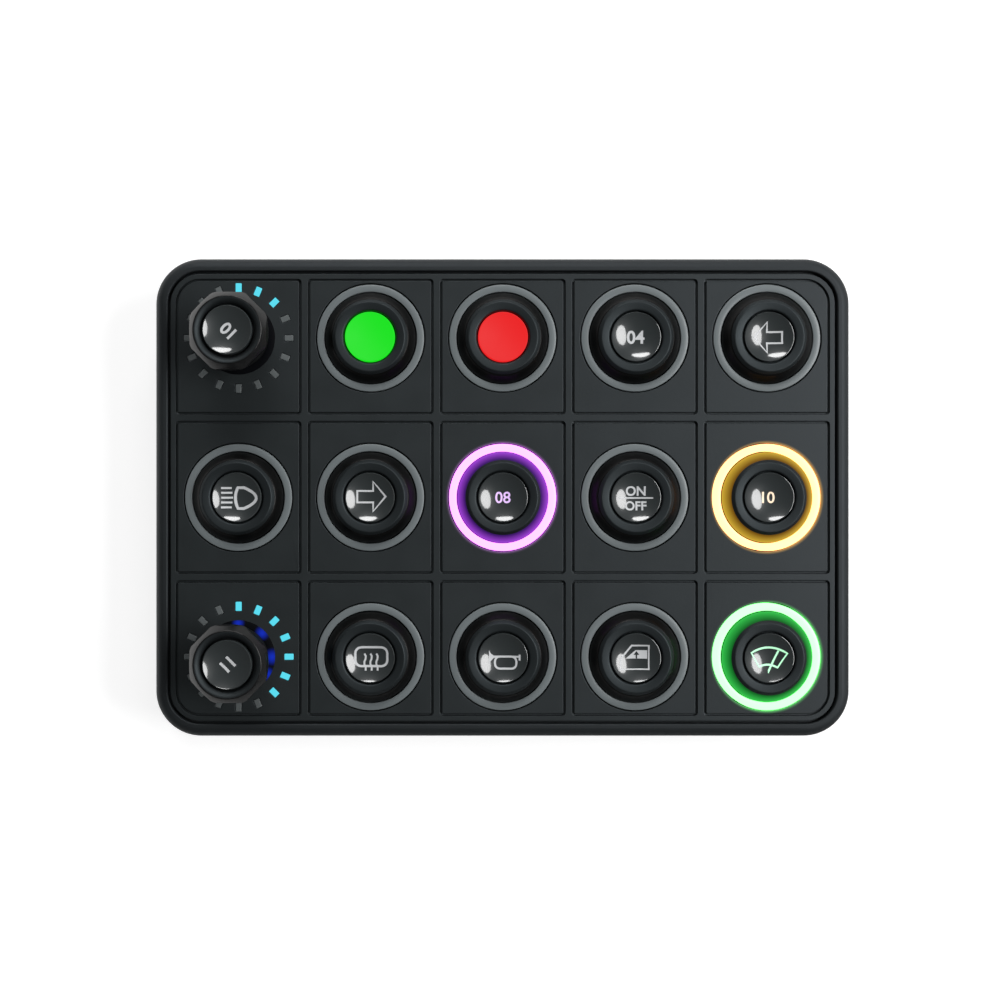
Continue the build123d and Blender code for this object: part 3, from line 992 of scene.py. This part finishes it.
def coated(name, colour, glow, strength, roughness, coat, ior=1.35):
    """Polycarbonate under a hard coat: both surfaces give sharp, bright reflections."""
    material, tree, place = new_material(name)
    haze = add_node(
        tree, "TexNoise", {"Vector": place, "Scale": 1 / (haze_size * mm), "Detail": 3}
    ).outputs["Fac"]
    shine = add_node(
        tree,
        "MapRange",
        {"Value": haze, "To Min": roughness - haze_drift, "To Max": roughness + haze_drift},
    )
    shader = add_node(
        tree,
        "BsdfPrincipled",
        {
            "Base Color": linear(colour),
            "Roughness": shine.outputs["Result"],
            "IOR": ior,
            "Coat Weight": coat,
            "Coat Roughness": 0.09,
            "Coat IOR": 1.6,
            "Emission Color": linear(glow),
            "Emission Strength": strength,
        },
    )
    add_node(tree, "OutputMaterial", {"Surface": shader.outputs["BSDF"]})
    return material


smoke = coated("smoke_polycarbonate", "#2a2f30", "#000000", 0.0, roughness=0.4, coat=1.0)
green = coated(
    "green_polycarbonate", "#050a05", "#14e61c", 0.96, roughness=0.7, coat=0.0, ior=1.4
)
red = coated("red_polycarbonate", "#0a0404", "#ee2022", 0.97, roughness=0.7, coat=0.0, ior=1.4)
disc_finishes = {"r1c2": ("insert_green", green), "r1c3": ("insert_red", red)}
disc_pattern = dished_disc(
    "disc_pattern", insert_radius, insert_seat, insert_rim, dish_sphere, dish_floor
)
fit_keys(disc_pattern, "key_disc", ("insert_resin", smoke), disc_finishes, node="key_insert")

# ---- Key legends
# Signs printed in white ink on the dished discs and lit from behind: plain numbers of the fields,
# ON and OFF, arrows and common vehicle symbols. The print is a hundredth of a millimetre thick.
print_thickness = 0.012
print_lift = 0.02
mask_lift = 0.02
longest_edge = 0.5
cap_share = 0.7


def outlined(curve, points, closed=True):
    """The mesh of a curve along points, in millimetres from the disc's middle."""
    spline = curve.splines.new("POLY")
    spline.points.add(len(points) - 1)
    for point, (x, y) in zip(spline.points, points):
        point.co = (x * mm, y * mm, 0, 1)
    spline.use_cyclic_u = closed
    pick(add_object(curve.name, curve))
    bpy.ops.object.convert(target="MESH")
    return bpy.context.object


def strip(points, thickness, closed=False):
    """A printed line of even thickness through points, in millimetres from the disc's middle."""
    curve = bpy.data.curves.new("line", "CURVE")
    curve.dimensions = "3D"
    curve.bevel_depth = thickness / 2 * mm
    curve.bevel_resolution = 1
    curve.use_fill_caps = True
    line = outlined(curve, points, closed)
    line.data.transform(Matrix.Diagonal((1, 1, print_thickness / thickness, 1)))
    return line


def patch(points):
    """A printed area inside points, in millimetres from the disc's middle."""
    curve = bpy.data.curves.new("area", "CURVE")
    curve.dimensions = "2D"
    curve.fill_mode = "BOTH"
    curve.extrude = print_thickness / 2 * mm
    return outlined(curve, points)


def words(text, height, weight, place=(0, 0)):
    """Printed letters with capitals of this height, thickened and centred on a place, in mm."""
    bpy.ops.object.select_all(action="DESELECT")
    bpy.ops.object.text_add(location=(0, 0, 0))
    letters = bpy.context.object
    letters.data.body = text
    letters.data.size = height * mm / cap_share
    letters.data.offset = weight * mm
    letters.data.extrude = print_thickness / 2 * mm
    bpy.ops.object.convert(target="MESH")
    letters = bpy.context.object
    corners = [v.co for v in letters.data.vertices]
    low, high = (Vector([end(c[axis] for c in corners) for axis in range(3)]) for end in (min, max))
    grow = height * mm / (high.y - low.y)
    centre = (low + high) / 2
    letters.data.transform(
        Matrix.Translation((place[0] * mm, place[1] * mm, 0))
        @ Matrix.Diagonal((grow, grow, 1, 1))
        @ Matrix.Translation((-centre.x, -centre.y, 0))
    )
    return letters


def bow(start, via, end, steps=10):
    """Points on a smooth bow from start to end that passes through a point half way."""
    points = []
    for step in range(steps + 1):
        t = step / steps
        weights = ((1 - t) * (1 - 2 * t), 4 * t * (1 - t), t * (2 * t - 1))
        points.append(
            tuple(sum(w * p[axis] for w, p in zip(weights, (start, via, end))) for axis in (0, 1))
        )
    return points


def rounded_loop(left, right, bottom, top, corner):
    """Points round a rectangle with rounded corners."""
    centres = [
        (right - corner, top - corner),
        (left + corner, top - corner),
        (left + corner, bottom + corner),
        (right - corner, bottom + corner),
    ]
    points = []
    for quarter, (x, y) in enumerate(centres):
        for step in range(5):
            angle = math.radians(90 * quarter + 22.5 * step)
            points.append((x + corner * math.cos(angle), y + corner * math.sin(angle)))
    return points


def lay_down(name, parts, place, sphere, floor, extra=0.0):
    """Joins printed parts, divides them finely and lets them follow a disc's dish at its place."""
    sign = join(name, parts)
    bpy.ops.object.mode_set(mode="EDIT")
    bpy.ops.mesh.select_all(action="SELECT")
    bpy.ops.mesh.quads_convert_to_tris()
    for _ in range(5):
        choose("edges", lambda co, e: e.calc_length() > longest_edge * mm)
        bpy.ops.mesh.subdivide(number_cuts=1)
        bpy.ops.mesh.select_all(action="SELECT")
        bpy.ops.mesh.quads_convert_to_tris()
    bpy.ops.object.mode_set(mode="OBJECT")
    for vertex in sign.data.vertices:
        radius = math.hypot(vertex.co.x, vertex.co.y) / mm
        vertex.co.z += (dish_height(radius, sphere, floor) + print_lift + extra) * mm
    sign.data.transform(Matrix.Translation(place))
    return sign


def backlit_ink(name, colour, strength):
    """Translucent ink that light comes through: an even print with a finely speckled gloss."""
    material, tree, place = new_material(name)
    speckle = add_node(tree, "TexNoise", {"Vector": place, "Scale": 1 / (0.2 * mm), "Detail": 2})
    shine = add_node(
        tree, "MapRange", {"Value": speckle.outputs["Fac"], "To Min": 0.4, "To Max": 0.6}
    )
    shader = add_node(
        tree,
        "BsdfPrincipled",
        {
            "Base Color": linear(colour),
            "Roughness": shine.outputs["Result"],
            "Emission Color": linear(colour),
            "Emission Strength": strength,
        },
    )
    add_node(tree, "OutputMaterial", {"Surface": shader.outputs["BSDF"]})
    return material


ink_white = backlit_ink("white_ink", "#bcbec0", 0.1)
ink_violet = backlit_ink("violet_lit_ink", "#d9b8f0", 0.3)
ink_amber = backlit_ink("amber_lit_ink", "#f4dcc0", 0.3)
ink_green = backlit_ink("green_lit_ink", "#b4f4c8", 0.4)

arrow_right = [(-2.9, 1.46), (0.68, 1.46), (0.68, 3.55), (3.5, 0.2)]
arrow_right += [(0.68, -3.15), (0.68, -1.12), (-2.9, -1.12)]
arrow_left = [(3.04, 1.17), (-0.34, 1.17), (-0.34, 3.37), (-3.26, -0.05)]
arrow_left += [(-0.34, -3.49), (-0.34, -1.35), (3.04, -1.35)]
lamp_bowl = bow((0.1, 2.2), (-0.48, -0.1), (0.15, -2.5), 8)
lamp_bowl += bow((1.5, -2.5), (4.35, -0.15), (1.5, 2.2), 14)
beams = [2.12, 1.06, -0.06, -1.14, -2.25]
bell = [(-3.15, 1.75), (-2.75, 0.95), (-2.1, 0.5), (-1.5, 0.42)]
bell += [(-1.5, 0.02), (-2.1, -0.1), (-2.75, -0.75), (-3.15, -1.65)]
pane = [(-2.25, -0.22), (0.0, 1.69), (2.59, 1.69), (2.59, -0.22)]
door = [(-0.9, 2.74), (2.92, 2.74), (2.92, -2.59), (-3.6, -2.59), (-3.42, -0.3)]
pane_arrow = [(0.02, -0.2), (0.36, -0.2), (0.36, 0.6), (0.85, 0.6)]
pane_arrow += [(0.19, 1.5), (-0.47, 0.6), (0.02, 0.6)]
screen = bow((-3.94, 1.12), (0.1, 2.3), (4.16, 1.01))
screen += bow((2.02, -2.25), (0, -1.6), (-2.14, -2.02))


def riser(x):
    """A wavy line of warm air."""
    steps = [(0, 0.9), (0.3, 0.35), (0.25, -0.3), (0, -0.9), (0, -1.5), (0.3, -2.1), (0.3, -2.9)]
    return [(x + aside, y) for aside, y in steps]


signs = {
    "r1c4": (ink_white, lambda: [words("04", 3.0, 0.1)]),
    "r1c5": (ink_white, lambda: [strip(arrow_left, 0.58, True)]),
    "r2c1": (
        ink_white,
        lambda: [strip([(-3.6, y), (-1.0 - 0.12 * abs(y), y)], 0.44) for y in beams]
        + [strip(lamp_bowl, 0.66, True)],
    ),
    "r2c2": (ink_white, lambda: [strip(arrow_right, 0.58, True)]),
    "r2c3": (ink_violet, lambda: [words("08", 2.6, 0.05)]),
    "r2c4": (
        ink_white,
        lambda: [
            words("ON", 2.2, 0.08, (0, 1.45)),
            words("OFF", 2.1, 0.08, (0, -1.9)),
            strip([(-3.9, -0.12), (3.9, -0.12)], 0.34),
        ],
    ),
    "r2c5": (ink_amber, lambda: [words("10", 2.6, 0.05)]),
    "r3c2": (
        ink_white,
        lambda: [strip(rounded_loop(-3.33, 3.9, -1.91, 2.36, 1.35), 0.52, True)]
        + [strip(riser(x), 0.42) for x in (-1.3, 0.05, 1.4)],
    ),
    "r3c3": (
        ink_white,
        lambda: [
            patch(bell),
            strip([(-1.7, 0.22), (3.7, 0.22)], 0.42),
            strip([(3.75, 0.72), (3.75, -0.62)], 0.42),
            strip(rounded_loop(-1.8, 3.04, -2.47, 0.22, 1.1), 0.46, True),
        ],
    ),
    "r3c4": (ink_white, lambda: [strip(door, 0.45, True), patch(pane)]),
    "r3c5": (
        ink_green,
        lambda: [
            strip(screen, 0.45, True),
            strip([(2.25, 1.57), (0.0, -3.04)], 0.42),
            strip([(-0.12, -3.0), (0.12, -3.04)], 0.9),
        ],
    ),
}
for name, (ink, draw) in signs.items():
    sign = lay_down(f"legend_{name}", draw(), key_places[name], dish_sphere, dish_floor)
    put_on(sign, f"key_{name}", "legend_white", ink)
mask = [patch(pane_arrow)]
mask = lay_down("legend_mask_r3c4", mask, key_places["r3c4"], dish_sphere, dish_floor, mask_lift)
put_on(mask, "key_r3c4", "insert_resin", smoke)

# ---- Knob grips
# Each knob is black ABS pushed onto the encoder's shaft: a round skirt that flares upwards to
# eight finger flats with an eroded, dull surface, a polished chamfered crown, and a satin bezel
# in the crown that is rounded down to the disc.
flat_count = 8
flat_reach = 8.35
grip_bore = 5.6
crown_radius = 8.88
bezel_radius = 7.2
crown_foot = 36.95
flank_profile = [
    (grip_bore, 22.9),
    (6.75, 22.9),
    (6.9, 23.05),
    (7.0, 26.0),
    (7.4, 28.5),
    (8.0, 31.5),
    (8.5, 34.6),
    (8.92, 36.8),
    (crown_radius, crown_foot),
    (grip_bore, crown_foot),
]
crown_profile = [
    (bezel_radius, crown_foot),
    (crown_radius, crown_foot),
    (7.5, 38.84),
    (7.42, 38.91),
    (7.32, 38.95),
    (7.24, 38.94),
    (bezel_radius, 38.9),
    (bezel_radius, crown_foot),
]
bezel_profile = [
    (grip_bore, crown_foot),
    (bezel_radius, crown_foot),
    (bezel_radius, 38.88),
    (7.14, 38.9),
    (6.9, 38.84),
    (6.6, 38.7),
    (6.35, 38.53),
    (6.15, 38.33),
    (5.98, 38.1),
    (5.86, 37.85),
    (5.78, 37.5),
    (grip_bore, 37.3),
    (grip_bore, crown_foot),
]
grip_patterns = [
    turned("flank_pattern", flank_profile),
    turned("crown_pattern", crown_profile),
    turned("bezel_pattern", bezel_profile),
]
for pattern in grip_patterns:
    pick(pattern)
    bpy.ops.object.mode_set(mode="EDIT")
    for flat in range(flat_count):
        angle = math.radians(360 / flat_count * flat)
        away = Vector((math.cos(angle), math.sin(angle), 0))
        bpy.ops.mesh.select_all(action="SELECT")
        bpy.ops.mesh.bisect(
            plane_co=away * flat_reach * mm, plane_no=away, use_fill=True, clear_outer=True
        )
    close_up()
flank_abs = moulded("eroded_black_abs", "#0a0b0c", roughness=0.6, grain=0.3, depth=0.004, ior=1.28)
crown_abs = moulded(
    "polished_black_abs", "#060708", roughness=0.32, grain=0.3, depth=0.001, ior=1.46
)
bezel_abs = moulded(
    "satin_black_abs_bezel", "#0d0f10", roughness=0.56, grain=0.3, depth=0.002, sheen="#e8f8ff"
)
grip_finishes = {"flank": flank_abs, "crown": crown_abs, "bezel": bezel_abs}
for name, place in knob_places.items():
    for (part, finish), pattern in zip(grip_finishes.items(), grip_patterns):
        grip = copy_to(pattern, f"knob_{part}_{name}", place)
        put_on(grip, f"knob_{name}", "knob_plastic", finish, f"knob_grip_{name}")
for pattern in grip_patterns:
    bpy.data.objects.remove(pattern)

# ---- Knob discs
# The same dished polycarbonate disc as in the keys, a little smaller, is snapped into each knob's
# crown. Its number is printed askew, since it turns with the knob.
knob_disc_radius = 5.4
knob_disc_seat, knob_disc_rim = 37.0, 38.8
knob_dish_floor = 37.6
knob_dish_sphere = 11.4
labels = {"1": ("01", -45), "2": ("11", -135)}
knob_disc = dished_disc(
    "knob_disc", knob_disc_radius, knob_disc_seat, knob_disc_rim, knob_dish_sphere, knob_dish_floor
)
for name, place in knob_places.items():
    disc = copy_to(knob_disc, f"knob_disc_{name}", place)
    put_on(disc, f"knob_{name}", "insert_resin", smoke, f"knob_insert_{name}")
    number, askew = labels[name]
    label = words(number, 2.8, 0.12)
    label.data.transform(Matrix.Rotation(math.radians(askew), 4, "Z"))
    label = lay_down(f"knob_legend_{name}", [label], place, knob_dish_sphere, knob_dish_floor)
    put_on(label, f"knob_{name}", "legend_white", ink_white)
bpy.data.objects.remove(knob_disc)
